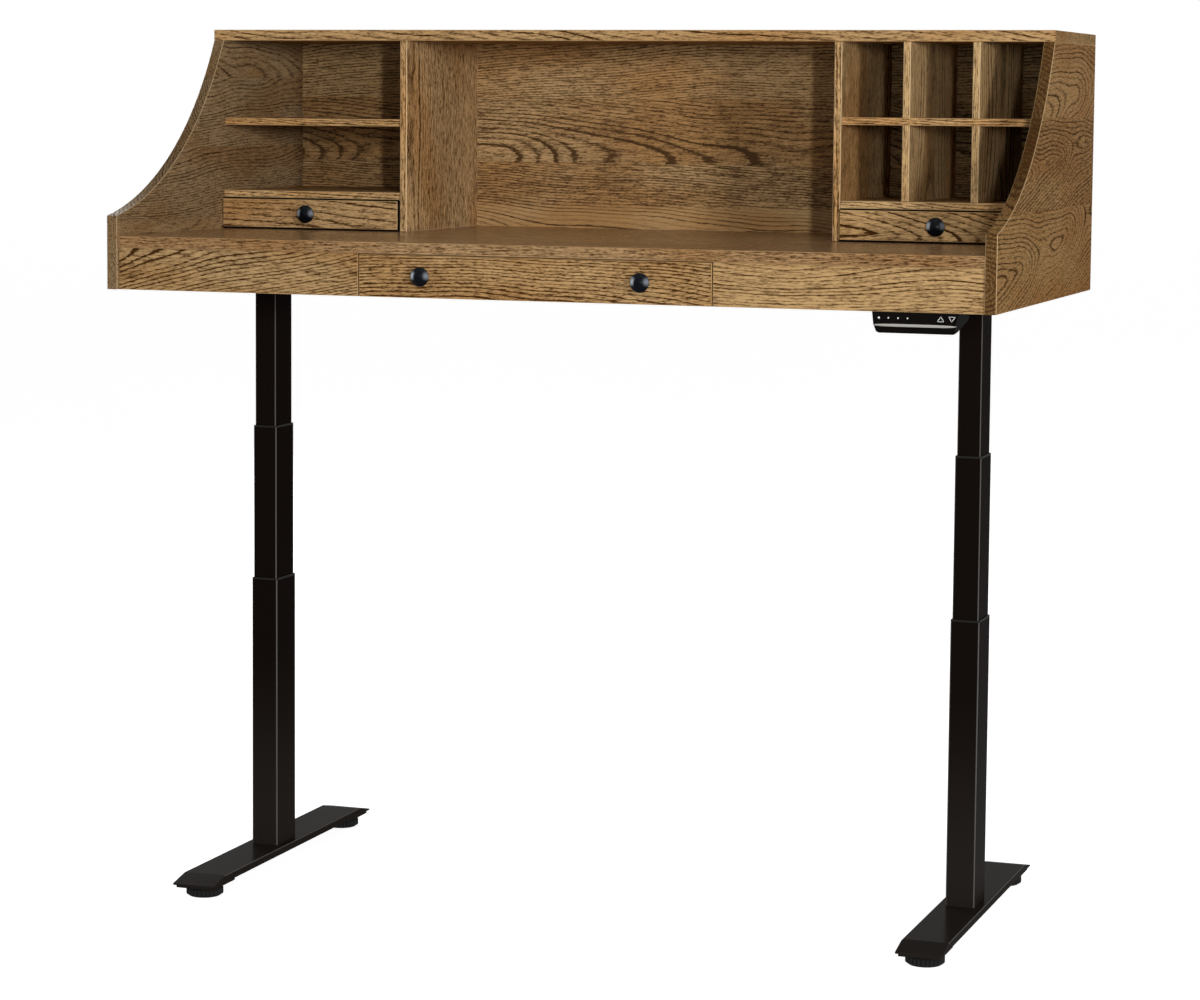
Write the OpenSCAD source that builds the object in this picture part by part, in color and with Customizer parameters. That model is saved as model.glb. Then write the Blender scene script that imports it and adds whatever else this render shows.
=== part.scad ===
// Sit-stand writing desk: a wooden desk with a hutch, three drawers and curved side panels,
// carried by two rectangular three-stage lifting columns with screw drives.
// Millimetres, +X to the right seen from the front, +Y to the back, +Z up, floor at Z 0.

/* [Desk] */
// Overall width over the side panels
desk_w = 1524; // [1400:2:1830]
// Depth of the side panels
desk_d = 762; // [720:2:860]
// Thickness of side panels, desktop, top panel, aprons and bearers
panel_t = 19; // [16:0.5:24]
// Depth of the aprons below the desktop
skirt_h = 71; // [66:1:100]
// Setback of the desktop's front strip behind the side panels
edge_setback = 1.5; // [0.5:0.5:5]
// Setback of the aprons and of the pencil drawer's front
apron_setback = 5.5; // [3:0.5:12]
// Thickness of the back panel
back_t = 10; // [6:0.5:14]
// Depth of the rabbet that takes the back panel's ends
rabbet = 9.5; // [4:0.5:12]
// Width of the eased edge on every board
ease = 1; // [0.3:0.1:1.5]

/* [Hutch] */
// Height of the side panels' front corner over the desktop
side_front_h = 34; // [20:1:60]
// Radius of the concave front edge of the side panels
curve_r = 591; // [500:1:900]
// Height of the hutch over the desktop
hutch_h = 354.5; // [330:0.5:420]
// Depth of the hutch's top panel
top_d = 350.5; // [300:1:370]
// Clear width of the centre bay
center_w = 776; // [640:2:860]
// Thickness of the two tall dividers
divider_t = 13; // [10:0.5:19]
// Thickness of the shelves
shelf_t = 12.5; // [9:0.5:16]
// Clear height under the two drawer shelves
drawer_bay_h = 56; // [50:1:80]
// Height of the left shelf's underside over the desktop
left_shelf_h = 185; // [150:1:240]
// Height of the pigeonhole shelf's underside over the desktop
pigeonhole_shelf_h = 196; // [150:1:240]
// Number of pigeonholes side by side
pigeonhole_columns = 3; // [2:1:4]
// Thickness of the pigeonhole dividers
pigeonhole_t = 12.5; // [8:0.5:14]
// Play of the halved joints between pigeonhole shelf and dividers
lap_play = 0.2; // [0.1:0.05:0.4]

/* [Drawers] */
// Width of the pencil drawer's front
pencil_w = 606; // [480:2:680]
// Depth of the pencil drawer's box
pencil_box_d = 306; // [200:1:312]
// Height of the pencil drawer's box
pencil_box_h = 48; // [40:1:50]
// Gap of the box's floor over the aprons' lower edge
pencil_box_lift = 9; // [6:1:12]
// Gap beside a drawer front
front_gap = 1.5; // [1:0.25:3]
// Gap below a small drawer's front
small_front_gap = 3.5; // [2:0.5:5]
// Thickness of a small drawer's front
small_front_t = 15; // [12:0.5:19]
// How far the small fronts stand proud of the shelves
small_front_proud = 8; // [2:0.5:12]
// Depth of a small drawer's box
small_box_d = 300; // [220:1:306]
// Thickness of the drawers' walls
drawer_wall = 10; // [8:0.5:14]
// Thickness of the drawers' floors
drawer_floor = 5; // [3:0.5:8]
// Running clearance under and beside a small drawer
drawer_play = 0.3; // [0.2:0.05:0.6]

/* [Drawer slides] */
// Height of the pencil drawer's fixed rails
rail_h = 36; // [30:1:38]
// Depth of the fixed rails
rail_d = 12; // [11:0.5:16]
// Sheet thickness of rails and runners
rail_t = 1.5; // [1:0.1:2]
// Inward height of the rails' lips
rail_lip = 7; // [5:0.5:8]
// Play between runner and rail
rail_play = 0.3; // [0.2:0.05:0.5]
// Length of rails and runners
rail_len = 290; // [180:1:300]

/* [Knobs] */
// Diameter of a knob
knob_d = 32; // [26:0.5:38]
// Distance a knob stands out of its drawer front
knob_len = 25; // [20:0.5:32]
// Diameter of a knob's neck
knob_neck_d = 13; // [9:0.5:16]
// Diameter of a knob's foot
knob_foot_d = 18; // [14:0.5:22]
// Distance of the pencil drawer's knobs from the middle
pencil_knob_x = 188.5; // [120:0.5:220]

/* [Lifting columns] */
// Distance of a column's axis from the desk's side
column_inset = 122; // [90:1:190]
// Distance of the column axes behind the desk's front
column_y = 400; // [380:1:430]
// Width of the outer tube
outer_w = 50; // [48:1:60]
// Depth of the outer tube
outer_d = 80; // [74:1:90]
// Size lost from each tube to the next one inside it
tube_step = 5; // [4:0.5:6]
// Wall of the tubes
tube_wall = 1.5; // [1.2:0.1:1.8]
// Outer corner radius of the outer tube
tube_r = 4; // [3:0.25:6]
// Length of the outer tube
outer_len = 482; // [440:1:520]
// Stroke of each of the two telescoping stages
stage_stroke = 325; // [280:1:335]
// Extension of each stage as drawn
stage_rest = 265; // [60:1:325]
// Height of a tube's collar that still shows at full retraction
collar_show = 9; // [4:1:20]
// Height of the rim of a guide
guide_rim = 3; // [2:0.5:6]
// Length of a guide inside its tube
guide_len = 40; // [25:1:60]
// Running clearance between a guide and the tube in it
guide_play = 0.1; // [0.05:0.01:0.2]

/* [Screw drive] */
// Diameter of the drive screw
drive_screw_d = 10; // [8:0.5:10.5]
// Outer diameter of the hollow screw
hollow_screw_d = 16; // [15:0.5:16.5]
// Bore of the hollow screw
hollow_screw_bore = 11; // [11:0.1:12]
// Outer diameter of the lower push tube
lower_tube_d = 22; // [20:0.5:22.4]
// Bore of the lower push tube
lower_tube_bore = 17; // [17:0.1:18]
// Outer diameter of the upper push tube
upper_tube_d = 28; // [27:0.5:32]
// Bore of the upper push tube
upper_tube_bore = 23; // [23:0.1:25]
// Radial running clearance in nuts and bearings
screw_play = 0.05; // [0.02:0.01:0.1]
// Height of a nut
nut_h = 30; // [20:1:40]
// Height of a screw's thrust bearing
bearing_h = 20; // [12:1:30]
// Height of the base flange of a push tube
flange_h = 6; // [4:0.5:8]
// Least overlap of the two screws
screw_overlap = 30; // [20:1:60]
// Room left at the ends of the screws
screw_end_gap = 4; // [2:0.5:8]

/* [Feet] */
// Height of the feet's top over the floor
foot_top = 36; // [34:0.5:45]
// Height of the feet's side walls
foot_h = 13; // [10:0.5:16]
// Width of a foot
foot_w = 77.5; // [72:1:100]
// Length of a foot
foot_len = 676; // [600:1:760]
// Distance of the feet's front end behind the desk's front
foot_y = 72; // [20:1:90]
// Length of the bevelled end of a foot
bevel_len = 47; // [30:1:60]
// Height of a foot's edge at its very end
toe_edge = 3; // [2:0.5:5]
// Sheet thickness of a foot
foot_sheet = 3; // [2:0.5:4]
// Setback of the toe plate behind the end of the foot
toe_setback = 5; // [3:0.5:8]
// Thickness of the toe plate below the foot
toe_t = 5; // [4:0.5:6]
// Length of the toe plate
toe_len = 92; // [80:1:110]

/* [Levelling glides] */
// Diameter of a glide's pad
glide_d = 64; // [50:1:70]
// Height of a glide's pad
glide_h = 14; // [10:0.5:16]
// Number of grip ribs round a pad
glide_ribs = 26; // [16:1:30]
// Diameter of a grip rib
rib_d = 6; // [4:0.25:7]
// Diameter of a glide's stem
stem_d = 8; // [6:0.5:10]
// Distance of a glide's axis from the end of its foot
glide_inset = 45; // [42:1:60]

/* [Steel frame] */
// Height from the column head to the desktop's underside
frame_h = 60; // [56:0.5:76]
// Gap between the middle tube and the column head at full retraction
head_gap = 5; // [3:0.5:10]
// Thickness of the column head plate
head_t = 5; // [4:0.5:8]
// Width of the column head plate
head_w = 84; // [74:1:90]
// Depth of the column head plate
head_d = 92; // [90:1:110]
// Length of a side bracket
bracket_len = 520; // [360:2:560]
// Width of a side bracket
bracket_w = 70; // [60:1:80]
// Height of a side bracket
bracket_h = 35; // [30:1:40]
// Sheet thickness of the side brackets
bracket_t = 2.5; // [2:0.25:4]
// Depth of the gear housing
gear_d = 72; // [60:1:84]
// Diameter of a motor
motor_d = 46; // [36:1:48]
// Length of a motor
motor_len = 112; // [80:1:140]
// Depth of a cross rail
cross_d = 20; // [15:0.5:25]
// Height of a cross rail
cross_h = 28; // [20:0.5:30]
// Wall of a cross rail
cross_wall = 2; // [1.5:0.25:2.5]
// Width of the control box
control_w = 260; // [180:2:320]
// Depth of the control box
control_d = 100; // [80:1:120]
// Height of the control box
control_h = 38; // [30:1:46]

/* [Handset] */
// Width of the handset at its top
handset_w = 138; // [126:1:150]
// Distance of the handset's middle from the desk's right side
handset_inset = 128; // [96:1:200]
// Depth of the handset
handset_d = 78; // [64:1:90]
// Height of the handset
handset_h = 33; // [30:0.5:36]
// Inward slope of each end of the handset from top to bottom
handset_draft = 5.5; // [3:0.5:9]
// Height of the key face
key_face_h = 18; // [14:0.5:19]
// Forward lean of the key face
key_face_lean = 6; // [3:0.5:9]
// Diameter of a memory key
memory_key_d = 4.4; // [3:0.1:5]
// Spacing of the memory keys
memory_key_pitch = 15.25; // [12:0.25:16]
// Side of an arrow key
arrow_key_side = 12.5; // [9:0.25:13]
// Spacing of the two arrow keys
arrow_key_pitch = 17.5; // [14.5:0.25:19]
// Play round a key
key_play = 0.25; // [0.15:0.05:0.4]
// Height of a key
key_h = 2.2; // [1.8:0.1:3]
// How far a key stands out of the key face
key_proud = 0.7; // [0.6:0.05:1]

/* [Hidden] */
$fn = 64;
cut = 1;

// Depth direction: the origin is midway between the back and the tips of the front knobs
front_y = -(desk_d - (knob_len - apron_setback)) / 2;
back_y = front_y + desk_d;
axis_y = front_y + column_y;

// Heights of the columns, from the floor up
outer_top = foot_top + outer_len;
outer_rim = outer_top + guide_rim;
middle_rim = outer_rim + collar_show + stage_rest;
middle_top = middle_rim - guide_rim;
middle_bottom = foot_top + flange_h + 2 * screw_end_gap + stage_rest;
head_z = middle_rim + stage_rest + head_gap;
plug_t = 8;
inner_bottom = middle_bottom + plug_t + 2 * screw_end_gap + stage_rest;

// Heights of the wooden upper
under_z = head_z + frame_h;
surface_z = under_z + panel_t;
skirt_z = under_z - skirt_h;
top_z = surface_z + hutch_h;
hutch_under_z = top_z - panel_t;

// Radius of the handset's lower corners and of the side panels' lower back corner
corner_r = 6;

// Places across the desk
half_w = desk_w / 2;
inside_x = half_w - panel_t;
column_x = half_w - column_inset;
bay_x = center_w / 2;
bay_outer_x = bay_x + divider_t;
hutch_y = back_y - top_d;
back_face_y = back_y - back_t;
apron_y = front_y + apron_setback;
apron_back_y = apron_y + panel_t;

// Places of the screw drive; the nuts are where the screws end at full extension
lower_nut_z = foot_top + screw_end_gap + stage_stroke;
lower_nut_top = lower_nut_z + nut_h;
hollow_bottom = foot_top + screw_end_gap + stage_rest;
bearing_z = lower_nut_top + 2 * screw_end_gap + stage_rest;
bearing_top = bearing_z + bearing_h;
collar_h = 3;
hollow_top = bearing_top + collar_h;
upper_nut_z = hollow_top + 2 * screw_end_gap;
drive_bottom = hollow_top - screw_overlap - (stage_stroke - stage_rest);
drive_top = head_z + head_t + bearing_h;

// Pencil drawer
pencil_half = pencil_w / 2;
apron_end_x = pencil_half + front_gap;
pencil_box_half = apron_end_x - rail_d - rail_t - cut;
rail_z = skirt_z + pencil_box_lift + pencil_box_h / 2;
bearer_z = rail_z - rail_h / 2 - 2;

// Rounded rectangle round the origin
module rounded_rect(w, d, r) {
    square([w - 2 * r, d], center = true);
    square([w, d - 2 * r], center = true);
    for (x = [-1, 1], y = [-1, 1])
        translate([x * (w / 2 - r), y * (d / 2 - r)]) circle(r);
}

// Rectangle between two corners with its corners cut off at 45 degrees
module eased_rect(a, b, e) {
    polygon([
        [a.x + e, a.y], [b.x - e, a.y], [b.x, a.y + e], [b.x, b.y - e],
        [b.x - e, b.y], [a.x + e, b.y], [a.x, b.y - e], [a.x, a.y + e]
    ]);
}

// Extrusions of a drawing along X and along Y; the drawing is in Y-Z or in X-Z
module along_x(x, len) {
    translate([x, 0, 0]) rotate([90, 0, 90]) linear_extrude(len) children();
}

module along_y(y, len) {
    translate([0, y + len, 0]) rotate([90, 0, 0]) linear_extrude(len) children();
}

// Board between two corners, all of its edges eased
module board(a, b) {
    intersection() {
        translate([0, 0, a.z]) linear_extrude(b.z - a.z)
            eased_rect([a.x, a.y], [b.x, b.y], ease);
        along_x(a.x, b.x - a.x) eased_rect([a.y, a.z], [b.y, b.z], ease);
        along_y(a.y, b.y - a.y) eased_rect([a.x, a.z], [b.x, b.z], ease);
    }
}

// Plain block between two corners
module block(a, b) {
    translate(a) cube(b - a);
}

// Rectangular tube round the Z axis
module column_tube(w, d, wall, r, len) {
    linear_extrude(len) difference() {
        rounded_rect(w, d, r);
        rounded_rect(w - 2 * wall, d - 2 * wall, r - wall);
    }
}

// Feet: a folded channel with bevelled ends and a plate at each toe for the glides
module foot_profile(inset) {
    a = foot_y + front_y + inset;
    b = a + foot_len - 2 * inset;
    top = foot_top - inset;
    bottom = foot_top - foot_h;
    toe = bottom + toe_edge - inset / 2;
    polygon([
        [a, inset > 0 ? bottom - cut : bottom], [b, inset > 0 ? bottom - cut : bottom],
        [b, toe], [b - bevel_len, top], [a + bevel_len, top], [a, toe]
    ]);
}

module toe_plate(y, s) {
    plate_w = foot_w / 2 - foot_sheet - ease;
    inside_w = foot_w / 2 - foot_sheet / 2;
    bottom = foot_top - foot_h;
    y0 = y + s * toe_setback;
    y1 = y + s * toe_len;
    block([-plate_w, min(y0, y1), bottom - toe_t], [plate_w, max(y0, y1), bottom]);
    block([-inside_w, min(y0 + s * foot_sheet, y1), bottom],
          [inside_w, max(y0 + s * foot_sheet, y1), bottom + foot_sheet / 2]);
    translate([0, y + s * glide_inset, bottom])
        cylinder(d = 2 * stem_d + 2, h = foot_h - foot_sheet);
}

module foot(side) {
    color([0.10, 0.09, 0.08])
    translate([side * column_x, 0, 0]) {
        y0 = foot_y + front_y;
        difference() {
            union() {
                difference() {
                    intersection() {
                        along_x(-foot_w / 2, foot_w) foot_profile(0);
                        along_y(y0 - cut, foot_len + 2 * cut)
                            eased_rect([-foot_w / 2, foot_top - foot_h],
                                       [foot_w / 2, foot_top], ease);
                    }
                    along_x(-foot_w / 2 + foot_sheet, foot_w - 2 * foot_sheet)
                        foot_profile(foot_sheet);
                }
                toe_plate(y0, 1);
                toe_plate(y0 + foot_len, -1);
            }
            for (y = [y0 + glide_inset, y0 + foot_len - glide_inset])
                translate([0, y, foot_top - foot_h - toe_t - cut])
                    cylinder(d = stem_d + 4 * screw_play,
                             h = foot_h + toe_t - foot_sheet + cut);
        }
    }
}

// Levelling glide: a ribbed rubber pad on a threaded stem
module glide(side, y) {
    color([0.09, 0.09, 0.09])
    translate([side * column_x, y, 0]) {
        body_d = glide_d - rib_d;
        foot_z = 3;
        cylinder(d1 = body_d - 4, d2 = body_d, h = foot_z);
        translate([0, 0, foot_z]) cylinder(d = body_d, h = glide_h - foot_z);
        for (i = [0 : glide_ribs - 1])
            rotate(360 * i / glide_ribs)
                translate([body_d / 2, 0, foot_z])
                    cylinder(d = rib_d, h = glide_h - foot_z - 1, $fn = 24);
        translate([0, 0, glide_h]) cylinder(d = 2 * stem_d, h = 2);
        cylinder(d = stem_d, h = foot_top - foot_sheet - 1);
    }
}

// Outer tube, standing on its foot
module outer_tube(side) {
    color([0.11, 0.10, 0.09])
    translate([side * column_x, axis_y, foot_top])
        column_tube(outer_w, outer_d, tube_wall, tube_r, outer_len);
}

// Guide: a thin sleeve inside a tube's mouth with a rim on the tube's end
module guide(w, d, r, z) {
    slot_w = w - tube_step + 2 * guide_play;
    slot_d = d - tube_step + 2 * guide_play;
    sleeve_w = w - 2 * tube_wall;
    sleeve_d = d - 2 * tube_wall;
    difference() {
        union() {
            translate([0, 0, z]) linear_extrude(guide_rim) rounded_rect(w, d, r);
            translate([0, 0, z - guide_len]) linear_extrude(guide_len + cut)
                rounded_rect(sleeve_w, sleeve_d, r - tube_wall + 0.4);
        }
        translate([0, 0, z - guide_len - cut]) linear_extrude(guide_len + guide_rim + 2 * cut)
            rounded_rect(slot_w, slot_d, r - tube_wall - 1);
    }
}

module outer_guides() {
    color([0.07, 0.07, 0.07])
    for (side = [-1, 1])
        translate([side * column_x, axis_y, 0])
            guide(outer_w, outer_d, tube_r, outer_top);
}

// Lower push tube: stands on the foot and holds the nut of the hollow screw
module lower_push_tubes() {
    color([0.55, 0.56, 0.58])
    for (side = [-1, 1])
        translate([side * column_x, axis_y, foot_top])
            difference() {
                union() {
                    cylinder(d = lower_tube_d, h = lower_nut_top - foot_top);
                    cylinder(d = upper_tube_d + 8, h = flange_h);
                }
                translate([0, 0, -cut])
                    cylinder(d = lower_tube_bore, h = lower_nut_z - foot_top + cut);
                translate([0, 0, lower_nut_z - foot_top - cut])
                    cylinder(d = hollow_screw_d + 2 * screw_play, h = nut_h + 2 * cut);
            }
}

// Middle tube with its guide
middle_w = outer_w - tube_step;
middle_d = outer_d - tube_step;
middle_r = tube_r - 0.5;
inner_w = middle_w - tube_step;
inner_d = middle_d - tube_step;
inner_r = middle_r - 0.5;

module middle_tube(side) {
    color([0.11, 0.10, 0.09])
    translate([side * column_x, axis_y, middle_bottom])
        column_tube(middle_w, middle_d, tube_wall, middle_r, middle_top - middle_bottom);
}

module middle_guide(side) {
    color([0.07, 0.07, 0.07])
    translate([side * column_x, axis_y, 0])
        guide(middle_w, middle_d, middle_r, middle_top);
}

// Upper push tube: a plug in the middle tube's lower end, the tube, the bearing of the
// hollow screw and the nut of the drive screw
module upper_push_tube(side) {
    rim_w = outer_w - 2 * tube_wall - 2 * guide_play;
    rim_d = outer_d - 2 * tube_wall - 2 * guide_play;
    rim_h = screw_end_gap;
    plug_w = middle_w - 2 * tube_wall;
    plug_d = middle_d - 2 * tube_wall;
    color([0.55, 0.56, 0.58])
    translate([side * column_x, axis_y, middle_bottom])
        difference() {
            union() {
                translate([0, 0, -rim_h]) linear_extrude(rim_h)
                    rounded_rect(rim_w, rim_d, tube_r - tube_wall + 0.6);
                linear_extrude(plug_t) rounded_rect(plug_w, plug_d, middle_r - tube_wall + 0.4);
                cylinder(d = upper_tube_d, h = upper_nut_z + nut_h - middle_bottom);
            }
            translate([0, 0, -rim_h - cut])
                cylinder(d = upper_tube_bore, h = bearing_z - middle_bottom + rim_h + cut);
            translate([0, 0, bearing_z - middle_bottom - cut])
                cylinder(d = hollow_screw_d + 2 * screw_play, h = bearing_h + 2 * cut);
            translate([0, 0, bearing_top - middle_bottom])
                cylinder(d = upper_tube_bore, h = upper_nut_z - bearing_top);
            translate([0, 0, upper_nut_z - middle_bottom - cut])
                cylinder(d = drive_screw_d + 2 * screw_play, h = nut_h + 2 * cut);
        }
}

// Drive screw, turned by the gear motor, and hollow screw, turned by the drive screw
module drive_screw(side) {
    color([0.70, 0.70, 0.72])
    translate([side * column_x, axis_y, 0]) {
        translate([0, 0, drive_bottom]) cylinder(d = drive_screw_d, h = drive_top - drive_bottom);
        translate([0, 0, head_z + head_t]) cylinder(d = 1.8 * drive_screw_d, h = collar_h);
    }
}

module hollow_screw(side) {
    color([0.70, 0.70, 0.72])
    translate([side * column_x, axis_y, 0])
        difference() {
            union() {
                translate([0, 0, hollow_bottom])
                    cylinder(d = hollow_screw_d, h = hollow_top - hollow_bottom);
                translate([0, 0, bearing_top])
                    cylinder(d = (hollow_screw_d + upper_tube_bore) / 2 + 2, h = collar_h);
            }
            translate([0, 0, hollow_bottom - cut])
                cylinder(d = hollow_screw_bore, h = hollow_top - hollow_bottom + 2 * cut);
        }
}

module inner_tube(side) {
    color([0.11, 0.10, 0.09])
    translate([side * column_x, axis_y, inner_bottom])
        column_tube(inner_w, inner_d, tube_wall, inner_r, head_z - inner_bottom);
}

// Gear motors: head plate, gear housing with the screw's bearing, and the motor
module gear_motors() {
    housing_w = bracket_w - 2 * bracket_t;
    housing_top = under_z - bracket_t;
    motor_z = head_z + head_t + motor_d / 2 + 1;
    color([0.16, 0.16, 0.17])
    for (side = [-1, 1])
        translate([side * column_x, axis_y, 0])
            difference() {
                union() {
                    translate([0, 0, head_z]) linear_extrude(head_t)
                        rounded_rect(head_w, head_d, 5);
                    translate([0, 0, head_z + head_t - cut])
                        linear_extrude(housing_top - head_z - head_t + cut)
                            rounded_rect(housing_w, gear_d, 3);
                    translate([0, 0, motor_z]) rotate([0, -90 * side, 0])
                        cylinder(d = motor_d, h = housing_w / 2 + motor_len);
                    translate([-side * (housing_w / 2 + motor_len), 0, motor_z])
                        rotate([0, -90 * side, 0])
                            cylinder(d1 = motor_d - 6, d2 = motor_d / 2, h = 4);
                }
                translate([0, 0, head_z - cut])
                    cylinder(d = drive_screw_d + 2 * screw_play, h = head_t + 2 * cut);
                translate([0, 0, head_z + head_t])
                    cylinder(d = 2.2 * drive_screw_d, h = bearing_h + screw_end_gap);
            }
}

// Side brackets: tapered channels under the desktop that carry it on the column heads
module side_brackets() {
    bottom = under_z - bracket_h;
    end_z = under_z - bracket_h / 3;
    taper = bracket_len / 5;
    motor_z = head_z + head_t + motor_d / 2 + 1;
    y0 = axis_y - bracket_len / 2;
    y1 = axis_y + bracket_len / 2;
    color([0.12, 0.11, 0.10])
    for (side = [-1, 1])
        translate([side * column_x, 0, 0])
            difference() {
                along_x(-bracket_w / 2, bracket_w)
                    polygon([
                        [y0, under_z], [y0, end_z], [y0 + taper, bottom],
                        [y1 - taper, bottom], [y1, end_z], [y1, under_z]
                    ]);
                block([-bracket_w / 2 + bracket_t, y0 - cut, bottom - cut],
                      [bracket_w / 2 - bracket_t, y1 + cut, under_z - bracket_t]);
                mirror([side > 0 ? 0 : 1, 0, 0])
                    block([-bracket_w / 2 - cut, axis_y - motor_d / 2 - cut, bottom - cut],
                          [0, axis_y + motor_d / 2 + cut, motor_z + motor_d / 2 + cut]);
            }
}

// Cross rails: two rectangular tubes that tie the side brackets
module cross_rails() {
    half = column_x - bracket_w / 2;
    z = under_z - bracket_t - cross_h / 2;
    color([0.12, 0.11, 0.10])
    for (s = [-1, 1])
        translate([0, axis_y + s * (motor_d / 2 + 3 * cut + cross_d / 2), z])
            difference() {
                cube([2 * half, cross_d, cross_h], center = true);
                cube([2 * half + 2 * cut, cross_d - 2 * cross_wall, cross_h - 2 * cross_wall],
                     center = true);
            }
}

// Control box: behind the rear cross rail, with sockets at its right end
module control_box() {
    y0 = axis_y + motor_d / 2 + cross_d + 14;
    z0 = under_z - control_h;
    socket_w = 12;
    socket_depth = 9;
    color([0.08, 0.08, 0.08])
    difference() {
        union() {
            board([-control_w / 2, y0, z0], [control_w / 2, y0 + control_d, under_z]);
            block([-control_w / 2 - 14, y0 + control_d / 4, under_z - 3],
                  [control_w / 2 + 14, y0 + control_d * 3 / 4, under_z]);
        }
        for (i = [0 : 2])
            translate([control_w / 2 - socket_depth, y0 + 14 + 18 * i, z0 + 10])
                cube([socket_depth + cut, socket_w, 10]);
        translate([control_w / 2 - 2 * socket_depth, y0 + control_d - 32, z0 + 9])
            cube([2 * socket_depth + cut, 22, 16]);
    }
}

// Handset: a wedge under the right apron, with a leaning key face
handset_x = half_w - handset_inset;
handset_y = apron_y - 2.5;
key_face_len = norm([key_face_h, key_face_lean]);
key_tilt = atan(key_face_lean / key_face_h);
key_mid_y = handset_y - key_face_lean / 2;
key_mid_z = skirt_z - key_face_h / 2;

// Places a child on the key face: X along the face, Y up the face, Z out of it
module on_key_face(x) {
    translate([handset_x + x, key_mid_y, key_mid_z]) rotate([90 - key_tilt, 0, 0]) children();
}

function memory_key_x(i) = -handset_w / 2 + 12 + memory_key_pitch * i;
arrow_key_x = handset_w / 2 - 19;

// Triangle pointing up (flip 1) or down (flip -1), centred on its height
module arrow_outline(grow, flip) {
    r = arrow_key_side / sqrt(3);
    reach = r + 2 * grow;
    polygon([for (a = [90, 210, 330]) flip * (reach * [cos(a), sin(a)] - [0, r / 4])]);
}

// Point on the rounded lower corner of the handset's drafted end
function end_corner(half, bottom, s, a) = [
    s * (half - handset_draft - corner_r + corner_r * cos(a)),
    bottom + corner_r - corner_r * sin(a)
];

module handset_housing() {
    nose_y = handset_y - key_face_lean;
    nose_z = skirt_z - key_face_h;
    bottom = skirt_z - handset_h;
    tail = handset_y + handset_d;
    half = handset_w / 2;
    color([0.05, 0.05, 0.06])
    difference() {
        intersection() {
            along_x(handset_x - half, handset_w)
                polygon([
                    [handset_y, skirt_z], [nose_y, nose_z], [nose_y + 1, nose_z - 2],
                    [nose_y + 8, bottom + 2], [nose_y + 12, bottom],
                    [tail - 4, skirt_z - 15], [tail, skirt_z - 11], [tail, skirt_z]
                ]);
            translate([handset_x, 0, 0]) along_y(nose_y - cut, handset_d + 2 * handset_draft + cut)
                polygon(concat(
                    [[-half, skirt_z], [half, skirt_z]],
                    [for (a = [0 : 15 : 90]) end_corner(half, bottom, 1, a)],
                    [for (a = [90 : -15 : 0]) end_corner(half, bottom, -1, a)]
                ));
        }
        for (i = [0 : 3])
            on_key_face(memory_key_x(i))
                translate([0, 0, key_proud - key_h - cut])
                    cylinder(d = memory_key_d + 2 * key_play, h = key_h + cut);
        for (s = [-1, 1])
            on_key_face(arrow_key_x + s * arrow_key_pitch / 2)
                translate([0, 0, key_proud - key_h - cut])
                    linear_extrude(key_h + cut) arrow_outline(key_play, -s);
        translate([handset_x - 6, tail - 9, skirt_z - 10]) cube([12, 9 + cut, 8]);
    }
}

module memory_button(i) {
    color([0.85, 0.85, 0.85])
    on_key_face(memory_key_x(i))
        translate([0, 0, key_proud - key_h]) cylinder(d = memory_key_d, h = key_h);
}

module arrow_button(s) {
    color([0.10, 0.10, 0.11])
    on_key_face(arrow_key_x + s * arrow_key_pitch / 2)
        translate([0, 0, key_proud - key_h]) linear_extrude(key_h) arrow_outline(0, -s);
}

// Side panel: the front edge rises from the corner in one concave arc to the top panel
curve_a = [front_y, surface_z + side_front_h];
curve_b = [hutch_y, hutch_under_z];
curve_chord = curve_b - curve_a;
curve_reach = sqrt(curve_r * curve_r - curve_chord * curve_chord / 4);
curve_center = (curve_a + curve_b) / 2
    + curve_reach * [-curve_chord.y, curve_chord.x] / norm(curve_chord);

module side_panel(side) {
    outer = half_w;
    inner = inside_x;
    color([0.55, 0.37, 0.20])
    mirror([side > 0 ? 0 : 1, 0, 0])
    difference() {
        intersection() {
            along_x(inner, panel_t)
                difference() {
                    union() {
                        polygon([
                            [front_y, skirt_z], [back_y - corner_r, skirt_z],
                            [back_y - corner_r, hutch_under_z], [front_y, hutch_under_z]
                        ]);
                        translate([back_y - 2 * corner_r, skirt_z + corner_r])
                            square([2 * corner_r, hutch_under_z - skirt_z - corner_r]);
                        translate([back_y - corner_r, skirt_z + corner_r]) circle(corner_r);
                    }
                    translate(curve_center) circle(curve_r, $fn = 360);
                    translate([front_y - cut, curve_a.y])
                        square([cut + 0.01, hutch_h]);
                }
            along_y(front_y, desk_d)
                eased_rect([inner, skirt_z], [outer, hutch_under_z], ease);
            translate([0, 0, skirt_z]) linear_extrude(hutch_under_z - skirt_z)
                eased_rect([inner, front_y], [outer, back_y], ease);
        }
        for (x = [[inner, 0], [outer, 1]])
            translate([x[0], curve_center.x, curve_center.y])
                rotate([90, 0, 90]) mirror([0, 0, x[1]])
                    rotate_extrude($fn = 360)
                        polygon([
                            [curve_r - ease, -ease], [curve_r + 2 * ease, -ease],
                            [curve_r - ease, 2 * ease]
                        ]);
        block([inner - cut, back_face_y, skirt_z - cut],
              [inner + rabbet, back_y + cut, top_z]);
    }
}

module top_panel() {
    color([0.55, 0.37, 0.20])
    board([-half_w, hutch_y, hutch_under_z], [half_w, back_y, top_z]);
}

module back_panel() {
    color([0.50, 0.33, 0.17])
    block([-inside_x - rabbet, back_face_y, skirt_z], [inside_x + rabbet, back_y, hutch_under_z]);
}

// Desktop and the strip glued to its front
module desktop() {
    color([0.42, 0.26, 0.13])
    block([-inside_x, front_y + edge_setback + panel_t, under_z], [inside_x, back_face_y, surface_z]);
}

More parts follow.
